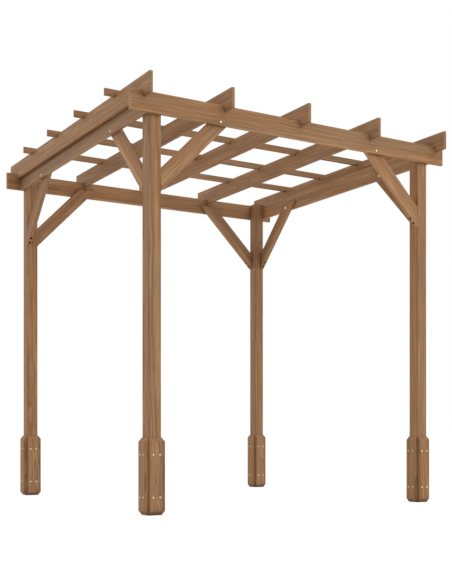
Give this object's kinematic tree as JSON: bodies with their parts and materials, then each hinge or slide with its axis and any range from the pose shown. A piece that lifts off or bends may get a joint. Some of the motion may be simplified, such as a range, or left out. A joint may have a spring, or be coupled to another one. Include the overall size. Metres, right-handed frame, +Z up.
{
  "type": "wooden pergola",
  "caption": "Free-standing square pergola: boarded post feet, knee-braced beams, notched rafters and slotted-in laths.",
  "frame": {"origin": "on the ground, under the middle of the roof's outer size", "axes": "+Z up; the front beam is on the -Y side, so the rafters run along Y; +X is to the right for somebody who faces the front"},
  "size_m": [2.678, 2.707, 2.871],
  "materials": {
    "beam_timber": "brown-stained softwood, grain along the beam",
    "brace_timber": "brown-stained softwood, grain along the brace",
    "foot_boards": "brown-stained softwood, a little darker",
    "lath_timber": "brown-stained softwood, grain along the lath",
    "post_timber": "brown-stained softwood, fine grain along the post",
    "rafter_timber": "brown-stained softwood, grain along the rafter"
  },
  "bodies": {
    "root": {"back_beam": "beam_timber", "brace_back_left_along_beam": "brace_timber", "brace_back_left_along_side": "brace_timber", "brace_back_right_along_beam": "brace_timber", "brace_back_right_along_side": "brace_timber", "brace_front_left_along_beam": "brace_timber", "brace_front_left_along_side": "brace_timber", "brace_front_right_along_beam": "brace_timber", "brace_front_right_along_side": "brace_timber", "foot_back_left_back": "foot_boards", "foot_back_left_front": "foot_boards", "foot_back_left_left": "foot_boards", "foot_back_left_right": "foot_boards", "foot_back_right_back": "foot_boards", "foot_back_right_front": "foot_boards", "foot_back_right_left": "foot_boards", "foot_back_right_right": "foot_boards", "foot_front_left_back": "foot_boards", "foot_front_left_front": "foot_boards", "foot_front_left_left": "foot_boards", "foot_front_left_right": "foot_boards", "foot_front_right_back": "foot_boards", "foot_front_right_front": "foot_boards", "foot_front_right_left": "foot_boards", "foot_front_right_right": "foot_boards", "front_beam": "beam_timber", "lath_1": "lath_timber", "lath_2": "lath_timber", "lath_3": "lath_timber", "lath_4": "lath_timber", "left_side_beam": "beam_timber", "post_back_left": "post_timber", "post_back_right": "post_timber", "post_front_left": "post_timber", "post_front_right": "post_timber", "rafter_1": "rafter_timber", "rafter_2": "rafter_timber", "rafter_3": "rafter_timber", "rafter_4": "rafter_timber", "rafter_5": "rafter_timber", "right_side_beam": "beam_timber"}
  },
  "joints": []
}
